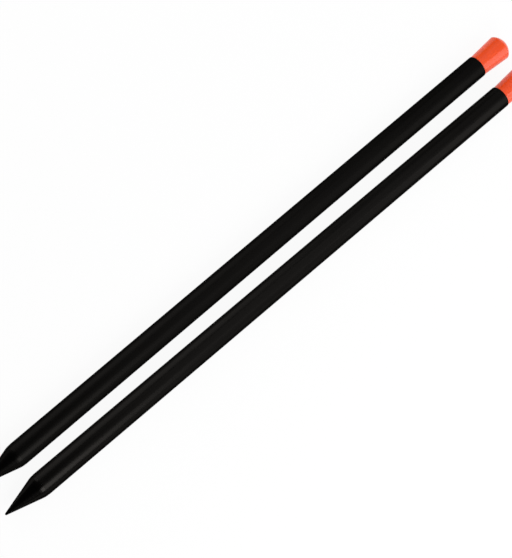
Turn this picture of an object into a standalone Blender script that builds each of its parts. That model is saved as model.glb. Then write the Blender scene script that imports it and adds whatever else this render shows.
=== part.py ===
"""A pair of marker sticks for measuring out line, lying side by side on a flat surface.

Each stick is a round black tube. A turned point closes its lower end and is pushed into the
ground. A flared and domed orange cap closes its upper end and keeps the line from slipping off.
Both ends are plugs whose spigots are glued into the bore of the tube.

Units are metres. A stick is drawn along +Z of its own frame, whose origin is the middle of the
tube's lower end. A parent empty then lays each stick down on z = 0, resting on the edge of its
tube and the rim of its cap, with the point towards -X and the cap towards +X. Stick 2 lies on
the -Y side of stick 1. The origin is the middle of the pair's footprint.
"""

from math import asin, atan2, cos, pi, radians, sin, tan

import bmesh
import bpy

MM = 0.001

# Tube
TUBE_DIAMETER = 16.0 * MM
TUBE_WALL = 1.2 * MM
TUBE_LENGTH = 407.1 * MM
POINT_END_EASE = 0.2 * MM
CAP_END_EASE = 0.4 * MM
BORE_EASE = 0.3 * MM

# Fits between the tube, its plugs and the glue
SPIGOT_CLEARANCE = 0.2 * MM
SEAT_GAP = 0.3 * MM
GLUE_GAP = 0.2 * MM

# Spigots, which both plugs have
SPIGOT_WALL = 2.2 * MM
SPIGOT_LEAD = 0.8 * MM
GROOVE_START = 5.0 * MM
GROOVE_LENGTH = 10.0 * MM
GROOVE_DEPTH = 0.8 * MM
CORE_ROUNDING = 1.5 * MM

# Ground point
POINT_HALF_ANGLE = radians(15.7)
POINT_NOSE_RADIUS = 0.76 * MM
POINT_BASE_STEP = 0.1 * MM
POINT_LAND = 1.8 * MM
POINT_SHOULDER_ROUNDING = 12.0 * MM
POINT_SPIGOT_LENGTH = 26.0 * MM
POINT_CORE_DEPTH = 4.0 * MM

# Marker cap
FLARE_LENGTH = 21.4 * MM
FLARE_BASE_STEP = 0.4 * MM
RIM_STEP = 1.1 * MM
RIM_ROUNDING = 0.8 * MM
DOME_HEIGHT = 4.8 * MM
CAP_SPIGOT_LENGTH = 22.0 * MM
CAP_CORE_DEPTH = 16.0 * MM

# How the pair lies
STICK_GAP = 7.5 * MM
STICK_SHIFT = -1.0 * MM
STICK_SPREAD = radians(-0.37)

# Fineness of the round shapes
FACETS = 48
CORNER_STEPS = 3
NOSE_STEPS = 4
DOME_STEPS = 7
SHARP_EDGE = radians(25)
SAME_POINT = 0.001 * MM

# Sizes that follow from those above
TUBE_RADIUS = TUBE_DIAMETER / 2
BORE_RADIUS = TUBE_RADIUS - TUBE_WALL
SPIGOT_RADIUS = BORE_RADIUS - SPIGOT_CLEARANCE
GROOVE_RADIUS = SPIGOT_RADIUS - GROOVE_DEPTH
CORE_RADIUS = SPIGOT_RADIUS - SPIGOT_WALL
POINT_BASE_RADIUS = TUBE_RADIUS - POINT_BASE_STEP
FLARE_BASE_RADIUS = TUBE_RADIUS - FLARE_BASE_STEP
RIM_RADIUS = TUBE_RADIUS + RIM_STEP
POINT_SEAT = -SEAT_GAP
POINT_SHOULDER = POINT_SEAT - POINT_LAND
CAP_SEAT = TUBE_LENGTH + SEAT_GAP


def clear_scene():
    for old in list(bpy.data.objects):
        bpy.data.objects.remove(old, do_unlink=True)


def finish(name, colour, roughness, metallic):
    """A plain material from a linear colour."""
    material = bpy.data.materials.new(name)
    material.use_nodes = True
    shader = material.node_tree.nodes["Principled BSDF"]
    shader.inputs["Base Color"].default_value = (*colour, 1.0)
    shader.inputs["Roughness"].default_value = roughness
    shader.inputs["Metallic"].default_value = metallic
    material.diffuse_color = (*colour, 1.0)
    return material


def arc_on_axis(centre_height, radius, start, end, steps):
    """Points of an arc whose centre is on the turning axis. Angles are measured up from the level."""
    angles = (start + (end - start) * step / steps for step in range(steps + 1))
    return [(radius * cos(angle), centre_height + radius * sin(angle)) for angle in angles]


def rounded_corner(before, corner, after, rounding):
    """The points that replace a corner by an arc of this radius, tangent to both sides."""
    back = (before[0] - corner[0], before[1] - corner[1])
    ahead = (after[0] - corner[0], after[1] - corner[1])
    back_angle = atan2(back[1], back[0])
    opening = (atan2(ahead[1], ahead[0]) - back_angle + pi) % (2 * pi) - pi
    bisector = back_angle + opening / 2
    to_centre = rounding / sin(abs(opening) / 2)
    centre = (corner[0] + to_centre * cos(bisector), corner[1] + to_centre * sin(bisector))
    swing = (pi - abs(opening)) * (1 if opening > 0 else -1)
    points = []
    for step in range(CORNER_STEPS + 1):
        angle = bisector + pi + swing * (0.5 - step / CORNER_STEPS)
        points.append((centre[0] + rounding * cos(angle), centre[1] + rounding * sin(angle)))
    return points


def with_rounded_corners(corners):
    """An outline from corners of (radius, height) or (radius, height, rounding)."""
    outline = []
    for index, corner in enumerate(corners):
        if len(corner) == 3:
            after = corners[(index + 1) % len(corners)]
            outline += rounded_corner(corners[index - 1], corner, after, corner[2])
        else:
            outline.append(corner)
    return outline


def turned(name, outline, material):
    """A mesh made by spinning an outline of (radius, height) round the Z axis.

    An outline that starts on the axis also ends there. Any other is closed into a ring. The
    middle of a facet faces +X, the side that turns down when the stick is laid on the floor.
    """
    shape = bmesh.new()
    phase = -pi / FACETS
    ring = [shape.verts.new((r * cos(phase), r * sin(phase), height)) for r, height in outline]
    pairs = list(zip(ring, ring[1:]))
    if outline[0][0] > 0:
        pairs.append((ring[-1], ring[0]))
    edges = [shape.edges.new(pair) for pair in pairs]
    bmesh.ops.spin(
        shape,
        geom=ring + edges,
        cent=(0, 0, 0),
        axis=(0, 0, 1),
        dvec=(0, 0, 0),
        angle=2 * pi,
        steps=FACETS,
        use_merge=True,
        use_duplicate=False,
    )
    bmesh.ops.remove_doubles(shape, verts=shape.verts, dist=SAME_POINT)
    bmesh.ops.recalc_face_normals(shape, faces=shape.faces)
    mesh = bpy.data.meshes.new(name)
    shape.to_mesh(mesh)
    shape.free()
    mesh.shade_smooth()
    mesh.set_sharp_from_angle(angle=SHARP_EDGE)
    mesh.materials.append(material)
    return mesh


def tube_outline():
    """The wall of the tube: outside from the point end to the cap end, then back down the bore."""
    return [
        (TUBE_RADIUS - POINT_END_EASE, 0.0),
        (TUBE_RADIUS, POINT_END_EASE),
        (TUBE_RADIUS, TUBE_LENGTH - CAP_END_EASE),
        (TUBE_RADIUS - CAP_END_EASE, TUBE_LENGTH),
        (BORE_RADIUS + BORE_EASE, TUBE_LENGTH),
        (BORE_RADIUS, TUBE_LENGTH - BORE_EASE),
        (BORE_RADIUS, BORE_EASE),
        (BORE_RADIUS + BORE_EASE, 0.0),
    ]


def spigot_corners(seat, into_tube, length, core_depth):
    """The spigot and core of a plug, from its seat to the axis.

    into_tube is +1 where the spigot points up the stick and -1 where it points down.
    """
    groove_near = seat + into_tube * GROOVE_START
    groove_far = groove_near + into_tube * GROOVE_LENGTH
    inner_end = seat + into_tube * length
    core_end = seat - into_tube * core_depth
    return [
        (SPIGOT_RADIUS, seat),
        (SPIGOT_RADIUS, groove_near),
        (GROOVE_RADIUS, groove_near),
        (GROOVE_RADIUS, groove_far),
        (SPIGOT_RADIUS, groove_far),
        (SPIGOT_RADIUS, inner_end - into_tube * SPIGOT_LEAD),
        (SPIGOT_RADIUS - SPIGOT_LEAD, inner_end),
        (CORE_RADIUS, inner_end),
        (CORE_RADIUS, core_end, CORE_ROUNDING),
        (0.0, core_end),
    ]


def point_outline():
    """The ground point, from its rounded nose up the cone and over its soft shoulder to a short
    straight land, then along its spigot and core. The shoulder's arc ends on the land.
    """
    apex = POINT_SHOULDER - POINT_BASE_RADIUS / tan(POINT_HALF_ANGLE)
    nose_centre = apex + POINT_NOSE_RADIUS / sin(POINT_HALF_ANGLE)
    nose = arc_on_axis(nose_centre, POINT_NOSE_RADIUS, -pi / 2, -POINT_HALF_ANGLE, NOSE_STEPS)
    nose[0] = (0.0, nose_centre - POINT_NOSE_RADIUS)
    rounding = min(POINT_SHOULDER_ROUNDING, POINT_LAND / tan(POINT_HALF_ANGLE / 2))
    shoulder = [(POINT_BASE_RADIUS, POINT_SHOULDER, rounding)]
    base = [(POINT_BASE_RADIUS, POINT_SEAT)]
    spigot = spigot_corners(POINT_SEAT, 1, POINT_SPIGOT_LENGTH, POINT_CORE_DEPTH)
    return with_rounded_corners(nose + shoulder + base + spigot)


def cap_outline():
    """The marker cap, from the top of its dome over the rim and down the flare, then the spigot."""
    rim_height = CAP_SEAT + FLARE_LENGTH
    dome_radius = (RIM_RADIUS**2 + DOME_HEIGHT**2) / (2 * DOME_HEIGHT)
    dome_centre = rim_height + DOME_HEIGHT - dome_radius
    rim_angle = pi / 2 - asin(RIM_RADIUS / dome_radius)
    dome = arc_on_axis(dome_centre, dome_radius, pi / 2, rim_angle, DOME_STEPS)
    dome[0] = (0.0, dome_centre + dome_radius)
    dome[-1] = (RIM_RADIUS, rim_height, RIM_ROUNDING)
    base = [(FLARE_BASE_RADIUS, CAP_SEAT)]
    spigot = spigot_corners(CAP_SEAT, -1, CAP_SPIGOT_LENGTH, CAP_CORE_DEPTH)
    return with_rounded_corners(dome + base + spigot)


def bond_outline(seat, into_tube):
    """The ring of hardened glue that fills the groove of one spigot."""
    near = seat + into_tube * (GROOVE_START + GLUE_GAP)
    far = seat + into_tube * (GROOVE_START + GROOVE_LENGTH - GLUE_GAP)
    inner = GROOVE_RADIUS + GLUE_GAP
    outer = BORE_RADIUS - GLUE_GAP
    return [(inner, near), (outer, near), (outer, far), (inner, far)]


def piece_meshes():
    """The mesh of each piece of a stick, by its name. Both sticks share them."""
    anodised = finish(
        "black_anodised_aluminium", colour=(0.0065, 0.006, 0.0055), roughness=0.42, metallic=1.0
    )
    orange = finish(
        "fluorescent_orange_plastic", colour=(0.83, 0.078, 0.026), roughness=0.38, metallic=0.0
    )
    epoxy = finish("hardened_epoxy", colour=(0.55, 0.42, 0.2), roughness=0.3, metallic=0.0)
    return {
        "shaft_tube": turned("shaft_tube", tube_outline(), anodised),
        "ground_point": turned("ground_point", point_outline(), anodised),
        "marker_cap": turned("marker_cap", cap_outline(), orange),
        "point_bond": turned("point_bond", bond_outline(POINT_SEAT, 1), epoxy),
        "cap_bond": turned("cap_bond", bond_outline(CAP_SEAT, -1), epoxy),
    }


def resting_pose():
    """The tilt of a stick that lies on its tube's lower edge and its cap's rim, and its height."""
    flat = cos(pi / FACETS)
    edge_radius, edge_height = TUBE_RADIUS * flat, POINT_END_EASE
    rises = ((r * flat - edge_radius, z - edge_height) for r, z in cap_outline() if z > CAP_SEAT)
    tilt = max(atan2(rise, run) for rise, run in rises)
    height = edge_radius * cos(tilt) - edge_height * sin(tilt)
    return tilt, height


def new_empty(name, parent=None):
    empty = bpy.data.objects.new(name, None)
    empty.empty_display_size = TUBE_DIAMETER
    empty.parent = parent
    bpy.context.collection.objects.link(empty)
    return empty


def add_stick(name, meshes, pair, shift, offset, turn):
    """One stick, laid down, with its tube's lower end at this shift along X and offset along Y."""
    tilt, height = resting_pose()
    frame = new_empty(name + "_frame", pair)
    frame.location = (shift, offset, height)
    frame.rotation_euler = (0.0, pi / 2 - tilt, turn)
    for piece, mesh in meshes.items():
        node = bpy.data.objects.new(f"{name}_{piece}", mesh)
        node.parent = frame
        bpy.context.collection.objects.link(node)


def centre_pair(pair):
    """Moves the pair so that the middle of its footprint is on the origin."""
    bpy.context.view_layer.update()
    points = []
    for node in bpy.data.objects:
        if node.type == "MESH":
            points += [node.matrix_world @ vertex.co for vertex in node.data.vertices]
    for axis in range(2):
        places = [point[axis] for point in points]
        pair.location[axis] -= (min(places) + max(places)) / 2


def main():
    clear_scene()
    meshes = piece_meshes()
    pair = new_empty("pair")
    add_stick("stick_1", meshes, pair, 0.0, 0.0, 0.0)
    add_stick("stick_2", meshes, pair, STICK_SHIFT, -(TUBE_DIAMETER + STICK_GAP), STICK_SPREAD)
    centre_pair(pair)


main()
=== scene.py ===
"""The looks of a pair of marker sticks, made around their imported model.

The file is laid out as an add-on and is run as a script. Each round piece is a smooth skin that
one Geometry Nodes tree turns from an outline of (radius, height), and that is then laid where its
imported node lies. Lengths are metres. A stick's own frame has +Z up the stick, +X down to the floor
and its origin in the middle of the tube's lower end.
"""

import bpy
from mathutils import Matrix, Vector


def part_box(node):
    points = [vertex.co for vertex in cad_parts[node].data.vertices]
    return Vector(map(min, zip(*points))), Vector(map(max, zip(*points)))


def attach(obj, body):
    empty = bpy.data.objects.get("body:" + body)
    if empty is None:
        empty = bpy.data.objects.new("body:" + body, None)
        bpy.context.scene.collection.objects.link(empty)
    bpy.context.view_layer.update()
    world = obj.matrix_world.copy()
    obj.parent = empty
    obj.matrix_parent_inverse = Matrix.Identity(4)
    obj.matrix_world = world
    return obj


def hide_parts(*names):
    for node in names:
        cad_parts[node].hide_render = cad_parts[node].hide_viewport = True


bl_info = {
    "name": "Marker Sticks",
    "version": (1, 0, 0),
    "blender": (4, 5, 0),
    "location": "View3D > Sidebar > Marker Sticks",
    "description": "Makes a pair of capped marker sticks and the studio that they lie in",
    "category": "Object",
}

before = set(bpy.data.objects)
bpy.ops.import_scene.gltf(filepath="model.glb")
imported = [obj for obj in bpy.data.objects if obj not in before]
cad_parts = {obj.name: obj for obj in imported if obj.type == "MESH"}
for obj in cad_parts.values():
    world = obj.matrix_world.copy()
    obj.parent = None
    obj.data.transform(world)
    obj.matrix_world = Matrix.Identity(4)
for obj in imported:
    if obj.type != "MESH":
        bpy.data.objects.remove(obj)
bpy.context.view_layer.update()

from math import asin, atan2, ceil, cos, hypot, pi, radians, sin, tan

import bmesh
import bpy
from bpy.props import FloatProperty, FloatVectorProperty, IntProperty, PointerProperty
from mathutils import Matrix, Vector

MM = 0.001
STICKS = ("stick_1", "stick_2")

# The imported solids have 48 flat sides. A round skin that touches the middle of each side stays
# inside them and lies on the floor with them.
PACKED_SIDES = 48
SKIN = cos(pi / PACKED_SIDES)

# Fits and hidden shapes of the plugs, which nobody sees on the finished stick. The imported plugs
# keep a gap to the tube's ends, and the drawn ones sit on them as the real ones do.
SEAT_GAP = 0.3 * MM
DRAWN_SEAT_GAP = 0.005 * MM
SPIGOT_CLEARANCE = 0.2 * MM
SPIGOT_WALL = 2.2 * MM
SPIGOT_LEAD = 0.8 * MM
GROOVE_START = 5.0 * MM
GROOVE_LENGTH = 10.0 * MM
GROOVE_DEPTH = 0.8 * MM
CORE_ROUNDING = 1.5 * MM
POINT_SPIGOT_LENGTH = 26.0 * MM
POINT_CORE_DEPTH = 4.0 * MM
CAP_SPIGOT_LENGTH = 22.0 * MM
CAP_CORE_DEPTH = 16.0 * MM

# Broken edges of the tube's ends and bore
POINT_END_EASE = 0.15 * MM
CAP_END_EASE = 0.4 * MM
BORE_EASE = 0.3 * MM

# How finely the outlines are drawn. A ring close to each end of a run keeps the shading even.
CORNER_STEP = radians(6)
DOME_STEPS = 24
NOSE_STEPS = 10
EDGE_RING = 0.05 * MM
SHORTEST_RINGED_RUN = 3 * EDGE_RING
LONGEST_RUN = 20.0 * MM

# Points closer than the weld are merged, edges sharper than the sharp edge stay crisp, and each
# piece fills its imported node's box within the tolerance.
WELD = 0.0005 * MM
SHARP_EDGE = radians(35)
PLACE_TOLERANCE = 0.05 * MM

# Nearly all values of a noise lie in this span, which is stretched to the range that is wanted.
NOISE_SPAN = {"From Min": 0.3, "From Max": 0.7}

# What the lines, clouds and waves add to a finish's roughness, or take from it, and the glue's
# roughness where it is clear and where it is cloudy.
LINE_BLUR = 0.03
CLOUD_BLUR = 0.02
WAVE_BLUR = 0.02
GLUE_ROUGHNESS = (0.25, 0.4)

# How many times longer than wide a tool mark is drawn
TOOL_MARK_STRETCH = 120.0

# The floor reaches this far from the middle, and lies a hair below the sticks.
FLOOR_CORNERS = ((-1, -1), (1, -1), (1, 1), (-1, 1))
FLOOR_REACH = 8.0
FLOOR_GAP = 0.02 * MM

# The pale horizon gives way to the walls between these angles over the floor, and the wall beyond
# the points gives way to the rest of the room between these values of a direction's X.
HORIZON_FADE = (radians(8), radians(10))
POINT_WALL_FADE = (-0.6, -0.3)

# Soft boxes that face the sticks' line. The side is 1 for +Y and -1 for -Y, the elevation is in
# degrees over that side, the width runs along the sticks, and the radiance comes on top of the
# room's.
SOFT_BOXES = (
    # name, x, side, elevation, distance, width, height, radiance
    ("point_key", -0.251, -1, 45, 0.76, 0.33, 0.50, 7.1),
    ("middle_top", 0.24, -1, 90, 0.80, 0.52, 1.20, 1.1),
    ("middle_left", -0.008, 1, 22, 0.70, 0.444, 0.56, 1.95),
    ("middle_right", 0.136, -1, 28, 0.70, 0.40, 0.74, 0.65),
    ("cap_fill", 0.56, 1, 48, 0.70, 0.69, 0.50, 0.4),
    ("cap_end", 1.5, 1, 65, 0.90, 0.90, 2.0, 2.4),
    ("cap_key", 0.61, -1, 34, 0.70, 0.50, 0.74, 2.35),
)

# The height of the photograph in pixels, and the width of the camera's sensor in mm. Blender lays
# that width along a picture's longer side, which is the photograph's height.
PHOTO_HEIGHT = 558
SENSOR_WIDTH = 36.0


def linear(code):
    """The linear colour of an sRGB hex code."""
    shares = [int(code[place : place + 2], 16) / 255 for place in (1, 3, 5)]
    return tuple(s / 12.92 if s <= 0.04045 else ((s + 0.055) / 1.055) ** 2.4 for s in shares)


def packed_middle(node):
    """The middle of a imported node's box."""
    low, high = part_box(node)
    return (low + high) / 2


def own_frame(stick):
    """The matrix from a stick's own frame to the pair's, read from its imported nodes."""
    lower = packed_middle(stick + "_point_bond")
    upper = packed_middle(stick + "_cap_bond")
    axis = (upper - lower).normalized()
    down = Vector((0, 0, -1))
    down = (down - axis * down.dot(axis)).normalized()
    axes = Matrix((down, axis.cross(down), axis)).transposed()
    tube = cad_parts[stick + "_shaft_tube"].data.vertices
    start = lower + axis * min((vertex.co - lower).dot(axis) for vertex in tube)
    return Matrix.Translation(start) @ axes.to_4x4()


def packed_tube():
    """The outside radius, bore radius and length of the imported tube."""
    to_own = OWN_FRAMES["stick_1"].inverted()
    points = [to_own @ vertex.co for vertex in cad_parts["stick_1_shaft_tube"].data.vertices]
    radii = [hypot(point.x, point.y) for point in points]
    return max(radii), min(radii), max(point.z for point in points)


OWN_FRAMES = {stick: own_frame(stick) for stick in STICKS}
TUBE_RADIUS, BORE_RADIUS, TUBE_LENGTH = packed_tube()


def length(name, description, default):
    """A length of the panel, in metres."""
    return FloatProperty(
        name=name, description=description, default=default, min=0.0, unit="LENGTH", precision=5
    )


def turn(name, description, default):
    """An angle of the panel, in radians."""
    return FloatProperty(name=name, description=description, default=default, subtype="ANGLE")


def share(name, description, default):
    """A number of the panel from 0 to 1."""
    return FloatProperty(
        name=name, description=description, default=default, min=0.0, max=1.0, subtype="FACTOR"
    )


def colour(name, description, code):
    """A colour of the panel, from its hex code."""
    return FloatVectorProperty(
        name=name, description=description, default=linear(code), min=0, max=1, subtype="COLOR"
    )


def light(name, description, default):
    """A brightness of the panel, where 1 is white."""
    return FloatProperty(name=name, description=description, default=default, min=0.0)


class StickSizes(bpy.types.PropertyGroup):
    """Sizes of one stick. Both sticks are alike."""

    tube_radius: length("Tube radius", "Outside radius of the shaft", TUBE_RADIUS)
    bore_radius: length("Bore radius", "Inside radius of the shaft", BORE_RADIUS)
    tube_length: length("Tube length", "Length of the shaft between its two plugs", TUBE_LENGTH)
    point_angle: turn("Point angle", "Angle between the point's side and its axis", radians(15.7))
    point_step: length("Point step", "How far the point's base stays inside the tube", 0.1 * MM)
    point_land: length("Point land", "Straight part of the point next to the tube", 1.8 * MM)
    shoulder_rounding: length("Shoulder rounding", "Radius between land and cone", 12.0 * MM)
    nose_radius: length("Nose radius", "Radius of the blunt end of the point", 0.76 * MM)
    flare_length: length("Flare length", "Height of the cap from the tube to its rim", 21.4 * MM)
    flare_step: length("Flare step", "How far the flare's base stays inside the tube", 0.4 * MM)
    rim_step: length("Rim step", "How far the cap's rim stands out past the tube", 1.1 * MM)
    rim_rounding: length("Rim rounding", "Radius of the cap's outer edge", 0.8 * MM)
    dome_height: length("Dome height", "Height of the dome above the cap's rim", 4.8 * MM)
    sides: IntProperty(
        name="Sides", description="Faces round each turned piece", default=128, min=24, max=256
    )


class StickFinishes(bpy.types.PropertyGroup):
    """Colours and gloss of the sticks."""

    metal_colour: colour("Metal", "Dyed black of the anodised shaft and point", "#161514")
    metal_line_colour: colour("Metal lines", "Faint lighter tool marks in the black", "#181716")
    metal_edge_tint: colour("Metal edge", "What the metal reflects at a grazing angle", "#B0B0B0")
    # The first stick's share is below one. It is painted shade: that stick gets a darker copy of the
    # same metal, so its sheen shows weaker than the second's.
    stick_1_sheen: share("Stick 1 sheen", "How much sheen the first stick's dye leaves", 0.72)
    stick_2_sheen: share("Stick 2 sheen", "How much sheen the second stick's dye leaves", 1.0)
    stick_1_tube_roughness: share("Tube 1 roughness", "Blur of the first tube's sheen", 0.4)
    stick_2_tube_roughness: share("Tube 2 roughness", "Blur of the second tube's sheen", 0.33)
    stick_1_point_roughness: share("Point 1 roughness", "Blur of the first point's sheen", 0.34)
    stick_2_point_roughness: share("Point 2 roughness", "Blur of the second point's sheen", 0.24)
    cap_colour: colour("Cap", "Fluorescent orange of the cap", "#ED4A08")
    cap_swirl_colour: colour("Cap swirls", "Deeper swirls of the cap's pigment", "#E74406")
    cap_roughness: share("Cap roughness", "Blur of the cap's gloss", 0.24)
    glue_colour: colour("Glue", "Amber of the hardened glue", "#C3AC7C")
    glue_cloud_colour: colour("Glue clouds", "Paler glue where air is trapped", "#D8C9A6")


class StudioSettings(bpy.types.PropertyGroup):
    """The view and the light."""

    azimuth: turn("Azimuth", "Side that the camera looks from, 0 along +Y", radians(-97.944))
    elevation: turn("Elevation", "Height of the camera over the floor", radians(74.133))
    roll: turn("Roll", "Turn of the camera about its own line of sight", radians(57.863))
    distance: length("Distance", "From the camera to the point that it looks at", 0.990311)
    sight: FloatVectorProperty(
        name="Sight",
        description="The point that the camera looks at",
        default=(-0.013314, 0.000283, 0.008),
        subtype="TRANSLATION",
    )
    focal_pixels: FloatProperty(
        name="Focal length", description="Focal length in pixels of the picture", default=1524.82
    )
    floor_colour: colour("Floor", "Colour of the paper floor", "#F7F7F7")
    floor_lift: share("Floor lift", "How far the floor that is seen is lifted to white", 0.93)
    horizon_light: light("Horizon light", "Brightness of the pale horizon", 0.92)
    near_wall_light: light("Near wall light", "Brightness of the wall beyond the points", 0.03)
    far_wall_light: light("Far wall light", "Brightness of the rest of the room", 0.12)


def rounded_corner(before, corner, after, rounding):
    """The points that replace a corner by an arc of this radius, tangent to both sides."""
    back = (before[0] - corner[0], before[1] - corner[1])
    ahead = (after[0] - corner[0], after[1] - corner[1])
    back_angle = atan2(back[1], back[0])
    opening = (atan2(ahead[1], ahead[0]) - back_angle + pi) % (2 * pi) - pi
    bisector = back_angle + opening / 2
    to_centre = rounding / sin(abs(opening) / 2)
    centre = (corner[0] + to_centre * cos(bisector), corner[1] + to_centre * sin(bisector))
    swing = (pi - abs(opening)) * (1 if opening > 0 else -1)
    steps = ceil(abs(swing) / CORNER_STEP)
    start = bisector + pi + swing / 2
    return arc(centre, rounding, start, start - swing, steps)


def arc(centre, radius, start, end, steps):
    """Points of an arc. Angles are measured up from the level."""
    angles = (start + (end - start) * step / steps for step in range(steps + 1))
    return [(centre[0] + radius * cos(angle), centre[1] + radius * sin(angle)) for angle in angles]


def with_rounded_corners(corners):
    """An outline from corners of (radius, height) or (radius, height, rounding)."""
    outline = []
    for index, corner in enumerate(corners):
        if len(corner) == 3:
            after = corners[(index + 1) % len(corners)]
            outline += rounded_corner(corners[index - 1], corner, after, corner[2])
        else:
            outline.append(corner)
    return outline


def with_rings(outline):
    """The outline with rings along its long runs and close to their ends, for even shading."""
    ringed = [outline[0]]
    for start, end in zip(outline, outline[1:]):
        run = hypot(end[0] - start[0], end[1] - start[1])
        if run > SHORTEST_RINGED_RUN:
            spans = ceil(run / LONGEST_RUN)
            evenly = (span / spans for span in range(1, spans))
            for place in (EDGE_RING / run, *evenly, 1 - EDGE_RING / run):
                ringed.append(tuple(a + (b - a) * place for a, b in zip(start, end)))
        ringed.append(end)
    return ringed


def tube_outline(sizes):
    """The wall of the tube: outside from the point end to the cap end, then back down the bore."""
    corners = [
        (sizes.tube_radius, 0.0, POINT_END_EASE),
        (sizes.tube_radius, sizes.tube_length, CAP_END_EASE),
        (sizes.bore_radius, sizes.tube_length, BORE_EASE),
        (sizes.bore_radius, 0.0, BORE_EASE),
    ]
    outline = with_rounded_corners(corners)
    return [*outline, outline[0]]


def seat_face(seat, into_tube):
    """Where a plug's drawn seat lies, a hair off the tube's end."""
    return seat + into_tube * (SEAT_GAP - DRAWN_SEAT_GAP)


def spigot_corners(sizes, seat, into_tube, spigot_length, core_depth):
    """The spigot and core of a plug, from its seat to the axis.

    into_tube is +1 where the spigot points up the stick and -1 where it points down.
    """
    spigot_radius = sizes.bore_radius - SPIGOT_CLEARANCE
    groove_radius = spigot_radius - GROOVE_DEPTH
    core_radius = spigot_radius - SPIGOT_WALL
    groove_near = seat + into_tube * GROOVE_START
    groove_far = groove_near + into_tube * GROOVE_LENGTH
    inner_end = seat + into_tube * spigot_length
    core_end = seat - into_tube * core_depth
    return [
        (spigot_radius, seat_face(seat, into_tube)),
        (spigot_radius, groove_near),
        (groove_radius, groove_near),
        (groove_radius, groove_far),
        (spigot_radius, groove_far),
        (spigot_radius, inner_end - into_tube * SPIGOT_LEAD),
        (spigot_radius - SPIGOT_LEAD, inner_end),
        (core_radius, inner_end),
        (core_radius, core_end, CORE_ROUNDING),
        (0.0, core_end),
    ]


def point_outline(sizes):
    """The ground point, from its blunt nose up the cone and over its soft shoulder to a short
    straight land, then along its spigot and core.
    """
    seat = -SEAT_GAP
    base_radius = sizes.tube_radius - sizes.point_step
    shoulder_height = seat - sizes.point_land
    apex = shoulder_height - base_radius / tan(sizes.point_angle)
    nose_centre = (0.0, apex + sizes.nose_radius / sin(sizes.point_angle))
    nose = arc(nose_centre, sizes.nose_radius, -pi / 2, -sizes.point_angle, NOSE_STEPS)
    nose[0] = (0.0, nose_centre[1] - sizes.nose_radius)
    shoulder = [(base_radius, shoulder_height, sizes.shoulder_rounding)]
    base = [(base_radius, seat_face(seat, 1))]
    spigot = spigot_corners(sizes, seat, 1, POINT_SPIGOT_LENGTH, POINT_CORE_DEPTH)
    return with_rounded_corners(nose + shoulder + base + spigot)


def cap_outline(sizes):
    """The marker cap, from the top of its dome over the rim and down the flare, then the spigot."""
    seat = sizes.tube_length + SEAT_GAP
    rim_height = seat + sizes.flare_length
    rim_radius = sizes.tube_radius + sizes.rim_step
    dome_radius = (rim_radius**2 + sizes.dome_height**2) / (2 * sizes.dome_height)
    dome_centre = (0.0, rim_height + sizes.dome_height - dome_radius)
    rim_angle = pi / 2 - asin(rim_radius / dome_radius)
    dome = arc(dome_centre, dome_radius, pi / 2, rim_angle, DOME_STEPS)
    dome = [point for point in dome if rim_radius - point[0] > sizes.rim_rounding]
    dome[0] = (0.0, dome_centre[1] + dome_radius)
    rim = [(rim_radius, rim_height, sizes.rim_rounding)]
    base = [(sizes.tube_radius - sizes.flare_step, seat_face(seat, -1))]
    spigot = spigot_corners(sizes, seat, -1, CAP_SPIGOT_LENGTH, CAP_CORE_DEPTH)
    return with_rounded_corners(dome + rim + base + spigot)


def add(tree, kind, inputs=None, **settings):
    """Adds a node. Each input is a value, or another node's output that is linked to it."""
    made = tree.nodes.new(kind)
    for name, value in settings.items():
        setattr(made, name, value)
    for name, value in (inputs or {}).items():
        if isinstance(value, bpy.types.NodeSocket):
            tree.links.new(value, made.inputs[name])
        else:
            made.inputs[name].default_value = value
    return made


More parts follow.
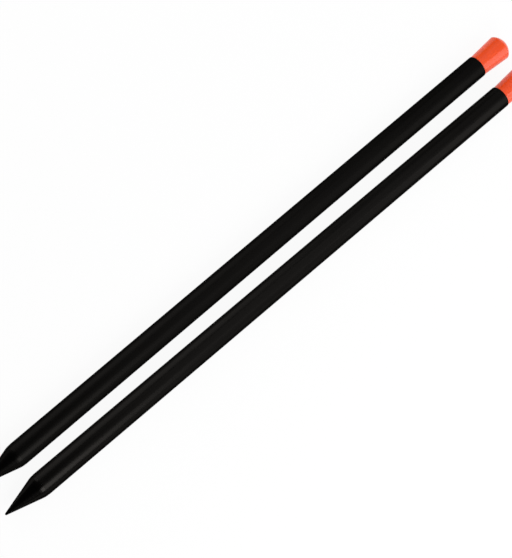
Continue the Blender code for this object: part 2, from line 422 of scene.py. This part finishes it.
def turning_tree():
    """The node tree that turns an outline into a round solid.

    A grid with a row for each point of the outline and a column for each side is bent round the
    axis, and its seam and poles are welded.
    """
    built = bpy.data.node_groups.get("turned_on_the_axis")
    if built:
        return built
    tree = bpy.data.node_groups.new("turned_on_the_axis", "GeometryNodeTree")
    for name, kind in (
        ("Outline", "NodeSocketGeometry"),
        ("Sides", "NodeSocketInt"),
        ("Radius share", "NodeSocketFloat"),
        ("Weld", "NodeSocketFloat"),
        ("Material", "NodeSocketMaterial"),
    ):
        tree.interface.new_socket(name, in_out="INPUT", socket_type=kind)
    tree.interface.new_socket("Solid", in_out="OUTPUT", socket_type="NodeSocketGeometry")
    given = add(tree, "NodeGroupInput").outputs
    points = add(tree, "GeometryNodeAttributeDomainSize", {"Geometry": given["Outline"]})
    columns = add(tree, "ShaderNodeMath", {0: given["Sides"], 1: 1.0}, operation="ADD")
    grid = add(
        tree,
        "GeometryNodeMeshGrid",
        {"Vertices X": points.outputs["Point Count"], "Vertices Y": columns.outputs[0]},
    )
    index = add(tree, "GeometryNodeInputIndex").outputs[0]
    rows = add(tree, "ShaderNodeMath", {0: index, 1: columns.outputs[0]}, operation="DIVIDE")
    row = add(tree, "ShaderNodeMath", {0: rows.outputs[0]}, operation="FLOOR")
    column = add(tree, "ShaderNodeMath", {0: index, 1: columns.outputs[0]}, operation="MODULO")
    place = add(
        tree,
        "GeometryNodeSampleIndex",
        {
            "Geometry": given["Outline"],
            "Value": add(tree, "GeometryNodeInputPosition").outputs[0],
            "Index": row.outputs[0],
        },
        data_type="FLOAT_VECTOR",
        domain="POINT",
    )
    outline = add(tree, "ShaderNodeSeparateXYZ", {0: place.outputs[0]}).outputs
    radius = add(
        tree, "ShaderNodeMath", {0: outline["X"], 1: given["Radius share"]}, operation="MULTIPLY"
    )
    side = add(tree, "ShaderNodeMath", {0: 2 * pi, 1: given["Sides"]}, operation="DIVIDE")
    angle = add(
        tree, "ShaderNodeMath", {0: column.outputs[0], 1: side.outputs[0]}, operation="MULTIPLY"
    )
    level = []
    for operation in ("COSINE", "SINE"):
        part = add(tree, "ShaderNodeMath", {0: angle.outputs[0]}, operation=operation)
        level.append(
            add(
                tree,
                "ShaderNodeMath",
                {0: part.outputs[0], 1: radius.outputs[0]},
                operation="MULTIPLY",
            )
        )
    round_place = add(
        tree,
        "ShaderNodeCombineXYZ",
        {"X": level[0].outputs[0], "Y": level[1].outputs[0], "Z": outline["Z"]},
    )
    bent = add(
        tree,
        "GeometryNodeSetPosition",
        {"Geometry": grid.outputs["Mesh"], "Position": round_place.outputs[0]},
    )
    welded = add(
        tree,
        "GeometryNodeMergeByDistance",
        {"Geometry": bent.outputs[0], "Distance": given["Weld"]},
    )
    smooth = add(tree, "GeometryNodeSetShadeSmooth", {"Geometry": welded.outputs[0]})
    real = add(tree, "GeometryNodeRealizeInstances", {"Geometry": smooth.outputs[0]})
    painted = add(
        tree,
        "GeometryNodeSetMaterial",
        {"Geometry": real.outputs[0], "Material": given["Material"]},
    )
    add(tree, "NodeGroupOutput", {"Solid": painted.outputs[0]})
    return tree


def turned(name, outline, sides, material):
    """A plain mesh turned from an outline, in the stick's own frame."""
    drawn = bpy.data.meshes.new(name + "_outline")
    outline = with_rings(outline)
    steps = [(index, index + 1) for index in range(len(outline) - 1)]
    drawn.from_pydata([(radius, 0.0, height) for radius, height in outline], steps, [])
    lathe = bpy.data.objects.new(name + "_outline", drawn)
    bpy.context.collection.objects.link(lathe)
    tree = turning_tree()
    given = {"Sides": sides, "Radius share": SKIN, "Weld": WELD, "Material": material}
    turning = lathe.modifiers.new("Turned", "NODES")
    turning.node_group = tree
    for socket in tree.interface.items_tree:
        if socket.name in given:
            turning[socket.identifier] = given[socket.name]
    graph = bpy.context.evaluated_depsgraph_get()
    mesh = bpy.data.meshes.new_from_object(lathe.evaluated_get(graph), depsgraph=graph)
    mesh.name = name
    bpy.data.objects.remove(lathe)
    bpy.data.meshes.remove(drawn)
    close_solid(mesh)
    return mesh


def close_solid(mesh):
    """Points the faces of a closed mesh outwards, and stops the script if it isn't closed."""
    shape = bmesh.new()
    shape.from_mesh(mesh)
    if not all(edge.is_manifold for edge in shape.edges):
        raise RuntimeError(f"{mesh.name} isn't one closed solid")
    bmesh.ops.recalc_face_normals(shape, faces=shape.faces)
    shape.to_mesh(mesh)
    shape.free()
    mesh.set_sharp_from_angle(angle=SHARP_EDGE)


def check_place(mesh, node):
    """Stops the script if a piece doesn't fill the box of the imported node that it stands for."""
    for axis, (low, high) in enumerate(zip(*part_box(node))):
        places = [vertex.co[axis] for vertex in mesh.vertices]
        if max(abs(min(places) - low), abs(max(places) - high)) > PLACE_TOLERANCE:
            raise RuntimeError(f"{mesh.name} doesn't fill the box of {node}")


def place_pieces(piece, outline, finish):
    """Turns one kind of piece and lays it on each stick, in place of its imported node.

    The sticks mirror the pale floor and not each other, as if each were pictured alone.
    """
    scene = bpy.context.scene
    for stick in STICKS:
        node = f"{stick}_{piece}"
        material = finish(scene.stick_finishes, stick)
        mesh = turned(f"{node}_skin", outline, scene.stick_sizes.sides, material)
        mesh.transform(OWN_FRAMES[stick])
        check_place(mesh, node)
        skin = bpy.data.objects.new(mesh.name, mesh)
        bpy.context.collection.objects.link(skin)
        skin.visible_glossy = False
        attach(skin, stick)
        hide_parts(node)


def new_material(name):
    """A material and its empty node tree."""
    material = bpy.data.materials.new(name)
    material.use_nodes = True
    material.node_tree.nodes.clear()
    return material, material.node_tree


def own_coordinates(tree, stick, stretch=(1.0, 1.0, 1.0)):
    """Object coordinates in the stick's own frame, drawn out along its axes by stretch."""
    place = OWN_FRAMES[stick]
    inputs = {
        "Vector": add(tree, "ShaderNodeTexCoord").outputs["Object"],
        "Location": place.translation,
        "Rotation": place.to_euler(),
        "Scale": stretch,
    }
    return add(tree, "ShaderNodeMapping", inputs, vector_type="TEXTURE").outputs[0]


def drawn_aluminium(finishes, stick):
    """Drawn aluminium tube, anodised and dyed black."""
    # The die leaves fine lines along the tube. Real ones are about 0.1 mm apart, and they are
    # drawn 0.9 mm apart so that they show.
    name = f"black_anodised_drawn_aluminium_{stick}"
    roughness = getattr(finishes, stick + "_tube_roughness")
    along = (1.0, 1.0, TOOL_MARK_STRETCH)
    return anodised_aluminium(name, finishes, stick, roughness, along, 0.9 * MM)


def turned_aluminium(finishes, stick):
    """Aluminium turned on a lathe, anodised and dyed black."""
    # The tool leaves fine rings round the point. Real ones are about 0.05 mm apart, and they are
    # drawn 0.7 mm apart so that they show.
    name = f"black_anodised_turned_aluminium_{stick}"
    roughness = getattr(finishes, stick + "_point_roughness")
    around = (TOOL_MARK_STRETCH, TOOL_MARK_STRETCH, 1.0)
    return anodised_aluminium(name, finishes, stick, roughness, around, 0.7 * MM)


def anodised_aluminium(name, finishes, stick, roughness, stretch, spacing):
    """Black anodised aluminium, with its tool marks this far apart and drawn out by stretch."""
    # The dyed oxide swallows nearly all the light, so the metal stays black with a soft sheen, and
    # its grazing edges stay dark too. The sheen is a little more blurred in some places than in
    # others, in clouds about 9 mm wide and 27 mm long. The first stick's metal is a darker copy of
    # the same metal, painted shade that makes its sheen weaker than the second's.
    material, tree = new_material(name)
    # On the first stick this share is painted shade: it darkens that stick's copy of the metal.
    sheen = getattr(finishes, stick + "_sheen")
    lines = add(
        tree,
        "ShaderNodeTexNoise",
        {"Vector": own_coordinates(tree, stick, stretch), "Scale": 1 / spacing},
    )
    clouds = add(
        tree,
        "ShaderNodeTexNoise",
        {"Vector": own_coordinates(tree, stick, (1.0, 1.0, 3.0)), "Scale": 1 / (9.0 * MM)},
    )
    line_share = add(tree, "ShaderNodeMapRange", {"Value": lines.outputs[0], **NOISE_SPAN})
    tone = add(
        tree,
        "ShaderNodeMix",
        {
            "Factor": line_share.outputs[0],
            "A": (*(sheen * part for part in finishes.metal_colour), 1.0),
            "B": (*(sheen * part for part in finishes.metal_line_colour), 1.0),
        },
        data_type="RGBA",
    )
    line_blur = add(
        tree,
        "ShaderNodeMapRange",
        {
            "Value": lines.outputs[0],
            **NOISE_SPAN,
            "To Min": roughness - LINE_BLUR,
            "To Max": roughness + LINE_BLUR,
        },
    )
    cloud_blur = add(
        tree,
        "ShaderNodeMapRange",
        {"Value": clouds.outputs[0], **NOISE_SPAN, "To Min": -CLOUD_BLUR, "To Max": CLOUD_BLUR},
    )
    blur = add(
        tree, "ShaderNodeMath", {0: line_blur.outputs[0], 1: cloud_blur.outputs[0]}, operation="ADD"
    )
    relief = add(
        tree,
        "ShaderNodeBump",
        {"Height": lines.outputs[0], "Strength": 0.15, "Distance": 0.01 * MM},
    )
    shader = add(
        tree,
        "ShaderNodeBsdfPrincipled",
        {
            "Base Color": tone.outputs[2],
            "Metallic": 1.0,
            "Roughness": blur.outputs[0],
            "Specular Tint": (*finishes.metal_edge_tint, 1.0),
            "Normal": relief.outputs[0],
        },
    )
    add(tree, "ShaderNodeOutputMaterial", {"Surface": shader.outputs[0]})
    return material


def fluorescent_plastic(finishes, stick):
    """Fluorescent orange polypropylene, injection moulded in a polished tool."""
    # The pigment glows evenly, with faint swirls where the melt flowed, under a clear soft gloss
    # that waves a little, as moulded skins do. The swirls are about 4 mm wide and 10 mm long, and
    # the waves 3 mm.
    material, tree = new_material(f"fluorescent_orange_plastic_{stick}")
    swirls = add(
        tree,
        "ShaderNodeTexNoise",
        {
            "Vector": own_coordinates(tree, stick, (1.0, 1.0, 2.5)),
            "Scale": 1 / (4.0 * MM),
            "Detail": 3.0,
        },
    )
    waves = add(
        tree,
        "ShaderNodeTexNoise",
        {"Vector": own_coordinates(tree, stick), "Scale": 1 / (3.0 * MM)},
    )
    swirl_share = add(tree, "ShaderNodeMapRange", {"Value": swirls.outputs[0], **NOISE_SPAN})
    tone = add(
        tree,
        "ShaderNodeMix",
        {
            "Factor": swirl_share.outputs[0],
            "A": (*finishes.cap_colour, 1.0),
            "B": (*finishes.cap_swirl_colour, 1.0),
        },
        data_type="RGBA",
    )
    blur = add(
        tree,
        "ShaderNodeMapRange",
        {
            "Value": waves.outputs[0],
            **NOISE_SPAN,
            "To Min": finishes.cap_roughness - WAVE_BLUR,
            "To Max": finishes.cap_roughness + WAVE_BLUR,
        },
    )
    relief = add(
        tree,
        "ShaderNodeBump",
        {"Height": waves.outputs[0], "Strength": 0.1, "Distance": 0.1 * MM},
    )
    shader = add(
        tree,
        "ShaderNodeBsdfPrincipled",
        {
            "Base Color": tone.outputs[2],
            "Roughness": blur.outputs[0],
            "IOR": 1.49,
            "Normal": relief.outputs[0],
        },
    )
    add(tree, "ShaderNodeOutputMaterial", {"Surface": shader.outputs[0]})
    return material


def hardened_epoxy(finishes, stick):
    """Two-part epoxy glue, squeezed out by the spigot and hardened in its groove."""
    # It is a glossy amber, cloudy where fine air is trapped in it. The clouds are about 1.5 mm.
    material, tree = new_material(f"hardened_epoxy_{stick}")
    clouds = add(
        tree,
        "ShaderNodeTexNoise",
        {"Vector": own_coordinates(tree, stick), "Scale": 1 / (1.5 * MM), "Detail": 3.0},
    )
    cloud_share = add(tree, "ShaderNodeMapRange", {"Value": clouds.outputs[0], **NOISE_SPAN})
    tone = add(
        tree,
        "ShaderNodeMix",
        {
            "Factor": cloud_share.outputs[0],
            "A": (*finishes.glue_colour, 1.0),
            "B": (*finishes.glue_cloud_colour, 1.0),
        },
        data_type="RGBA",
    )
    blur = add(
        tree,
        "ShaderNodeMapRange",
        {
            "Value": clouds.outputs[0],
            **NOISE_SPAN,
            "To Min": GLUE_ROUGHNESS[0],
            "To Max": GLUE_ROUGHNESS[1],
        },
    )
    shader = add(
        tree,
        "ShaderNodeBsdfPrincipled",
        {"Base Color": tone.outputs[2], "Roughness": blur.outputs[0], "IOR": 1.55},
    )
    add(tree, "ShaderNodeOutputMaterial", {"Surface": shader.outputs[0]})
    return material


def add_floor(settings):
    """A wide paper floor. What the camera and shiny surfaces see of it is lifted towards white."""
    mesh = bpy.data.meshes.new("floor")
    corners = [(x * FLOOR_REACH, y * FLOOR_REACH, -FLOOR_GAP) for x, y in FLOOR_CORNERS]
    mesh.from_pydata(corners, [], [(0, 1, 2, 3)])
    material, tree = new_material("matt_white_paper")
    paper = add(
        tree,
        "ShaderNodeBsdfPrincipled",
        {
            "Base Color": (*settings.floor_colour, 1.0),
            "Roughness": 1.0,
            "Specular IOR Level": 0.0,
        },
    )
    ray = add(tree, "ShaderNodeLightPath").outputs
    direct = add(
        tree,
        "ShaderNodeMath",
        {0: ray["Is Camera Ray"], 1: ray["Is Glossy Ray"]},
        operation="MAXIMUM",
    )
    seen = add(
        tree,
        "ShaderNodeMath",
        {0: direct.outputs[0], 1: ray["Is Transmission Ray"]},
        operation="MAXIMUM",
    )
    lift = add(
        tree, "ShaderNodeMath", {0: seen.outputs[0], 1: settings.floor_lift}, operation="MULTIPLY"
    )
    white = add(tree, "ShaderNodeEmission", {"Strength": 1.0})
    lifted = add(
        tree,
        "ShaderNodeMixShader",
        {0: lift.outputs[0], 1: paper.outputs[0], 2: white.outputs[0]},
    )
    add(tree, "ShaderNodeOutputMaterial", {"Surface": lifted.outputs[0]})
    mesh.materials.append(material)
    floor = bpy.data.objects.new("floor", mesh)
    bpy.context.collection.objects.link(floor)


def add_room(settings):
    """The room round the floor: a pale horizon, a dark wall beyond the points, the rest dim."""
    world = bpy.data.worlds.new("room")
    bpy.context.scene.world = world
    world.use_nodes = True
    tree = world.node_tree
    tree.nodes.clear()
    looked_at = add(tree, "ShaderNodeTexCoord")
    along = add(tree, "ShaderNodeSeparateXYZ", {0: looked_at.outputs["Generated"]}).outputs
    wall = add(
        tree,
        "ShaderNodeMapRange",
        {
            "Value": along["X"],
            "From Min": POINT_WALL_FADE[0],
            "From Max": POINT_WALL_FADE[1],
            "To Min": settings.near_wall_light,
            "To Max": settings.far_wall_light,
        },
        interpolation_type="SMOOTHSTEP",
    )
    above = add(
        tree,
        "ShaderNodeMapRange",
        {
            "Value": along["Z"],
            "From Min": sin(HORIZON_FADE[0]),
            "From Max": sin(HORIZON_FADE[1]),
        },
        interpolation_type="SMOOTHSTEP",
    )
    brightness = add(
        tree,
        "ShaderNodeMix",
        {"Factor": above.outputs[0], "A": settings.horizon_light, "B": wall.outputs[0]},
        data_type="FLOAT",
    )
    room = add(
        tree,
        "ShaderNodeBackground",
        {"Color": (1.0, 1.0, 1.0, 1.0), "Strength": brightness.outputs[0]},
    )
    add(tree, "ShaderNodeOutputWorld", {"Surface": room.outputs[0]})


def add_soft_box(name, x, side, elevation, distance, width, height, radiance):
    """A soft box over x on the sticks' line, at an elevation over one side, that faces them.

    Its power comes from its size and radiance, so that a bigger box isn't a dimmer one.
    """
    angle = radians(elevation)
    away = Vector((0.0, side * cos(angle), sin(angle)))
    along = Vector((1.0, 0.0, 0.0))
    lamp = bpy.data.lights.new(name, "AREA")
    lamp.shape = "RECTANGLE"
    lamp.size = width
    lamp.size_y = height
    lamp.energy = pi * radiance * width * height
    holder = bpy.data.objects.new(name, lamp)
    bpy.context.collection.objects.link(holder)
    facing = Matrix((along, away.cross(along), away)).transposed().to_4x4()
    holder.matrix_world = Matrix.Translation(away * distance + along * x) @ facing


def add_camera(settings):
    """The photograph's view, with the camera turned about its own line of sight."""
    azimuth, elevation, roll = settings.azimuth, settings.elevation, settings.roll
    away = Vector((sin(azimuth) * cos(elevation), -cos(azimuth) * cos(elevation), sin(elevation)))
    level = Vector((cos(azimuth), sin(azimuth), 0.0))
    upright = away.cross(level)
    right = level * cos(roll) + upright * sin(roll)
    up = upright * cos(roll) - level * sin(roll)
    sight = Vector(settings.sight)
    camera = bpy.data.cameras.new("camera")
    camera.sensor_width = SENSOR_WIDTH
    camera.lens = settings.focal_pixels * SENSOR_WIDTH / PHOTO_HEIGHT
    holder = bpy.data.objects.new("camera", camera)
    bpy.context.collection.objects.link(holder)
    holder.matrix_world = Matrix.Translation(sight + away * settings.distance) @ Matrix(
        (right, up, away)
    ).transposed().to_4x4()
    bpy.context.scene.camera = holder


class AddShaftTubes(bpy.types.Operator):
    """Turn both black tubes"""

    bl_idname = "marker_sticks.add_shaft_tubes"
    bl_label = "Shaft Tubes"

    def execute(self, context):
        place_pieces("shaft_tube", tube_outline(context.scene.stick_sizes), drawn_aluminium)
        return {"FINISHED"}


class AddGroundPoints(bpy.types.Operator):
    """Turn both points that go into the ground"""

    bl_idname = "marker_sticks.add_ground_points"
    bl_label = "Ground Points"

    def execute(self, context):
        place_pieces("ground_point", point_outline(context.scene.stick_sizes), turned_aluminium)
        return {"FINISHED"}


class AddMarkerCaps(bpy.types.Operator):
    """Turn both orange caps"""

    bl_idname = "marker_sticks.add_marker_caps"
    bl_label = "Marker Caps"

    def execute(self, context):
        place_pieces("marker_cap", cap_outline(context.scene.stick_sizes), fluorescent_plastic)
        return {"FINISHED"}


class FinishGlueRings(bpy.types.Operator):
    """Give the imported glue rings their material"""

    bl_idname = "marker_sticks.finish_glue_rings"
    bl_label = "Glue Rings"

    def execute(self, context):
        for stick in STICKS:
            epoxy = hardened_epoxy(context.scene.stick_finishes, stick)
            for piece in ("point_bond", "cap_bond"):
                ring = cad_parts[f"{stick}_{piece}"]
                ring.material_slots[0].material = epoxy
                ring.visible_glossy = False
        return {"FINISHED"}


class AddStudio(bpy.types.Operator):
    """Make the floor, the room, the soft boxes and the camera"""

    bl_idname = "marker_sticks.add_studio"
    bl_label = "Studio"

    def execute(self, context):
        settings = context.scene.stick_studio
        context.scene.view_settings.view_transform = "Standard"
        add_floor(settings)
        add_room(settings)
        for box in SOFT_BOXES:
            add_soft_box(*box)
        add_camera(settings)
        return {"FINISHED"}


MAKERS = (AddShaftTubes, AddGroundPoints, AddMarkerCaps, FinishGlueRings, AddStudio)


class MarkerSticksPanel(bpy.types.Panel):
    """Sizes, finishes and the steps that make the sticks"""

    bl_idname = "VIEW3D_PT_marker_sticks"
    bl_label = "Marker Sticks"
    bl_space_type = "VIEW_3D"
    bl_region_type = "UI"
    bl_category = "Marker Sticks"

    def draw(self, context):
        scene = context.scene
        for group in (scene.stick_sizes, scene.stick_finishes, scene.stick_studio):
            column = self.layout.column(align=True)
            for name in group.__annotations__:
                column.prop(group, name)
        for maker in MAKERS:
            self.layout.operator(maker.bl_idname)


GROUPS = {
    "stick_sizes": StickSizes,
    "stick_finishes": StickFinishes,
    "stick_studio": StudioSettings,
}


def register():
    for kind in (*GROUPS.values(), *MAKERS, MarkerSticksPanel):
        bpy.utils.register_class(kind)
    for name, group in GROUPS.items():
        setattr(bpy.types.Scene, name, PointerProperty(type=group))


def unregister():
    for name in GROUPS:
        delattr(bpy.types.Scene, name)
    for kind in reversed((*GROUPS.values(), *MAKERS, MarkerSticksPanel)):
        bpy.utils.unregister_class(kind)


def main():
    register()
    bpy.ops.marker_sticks.add_shaft_tubes()
    bpy.ops.marker_sticks.add_ground_points()
    bpy.ops.marker_sticks.add_marker_caps()
    bpy.ops.marker_sticks.finish_glue_rings()
    bpy.ops.marker_sticks.add_studio()


if __name__ == "__main__":
    main()
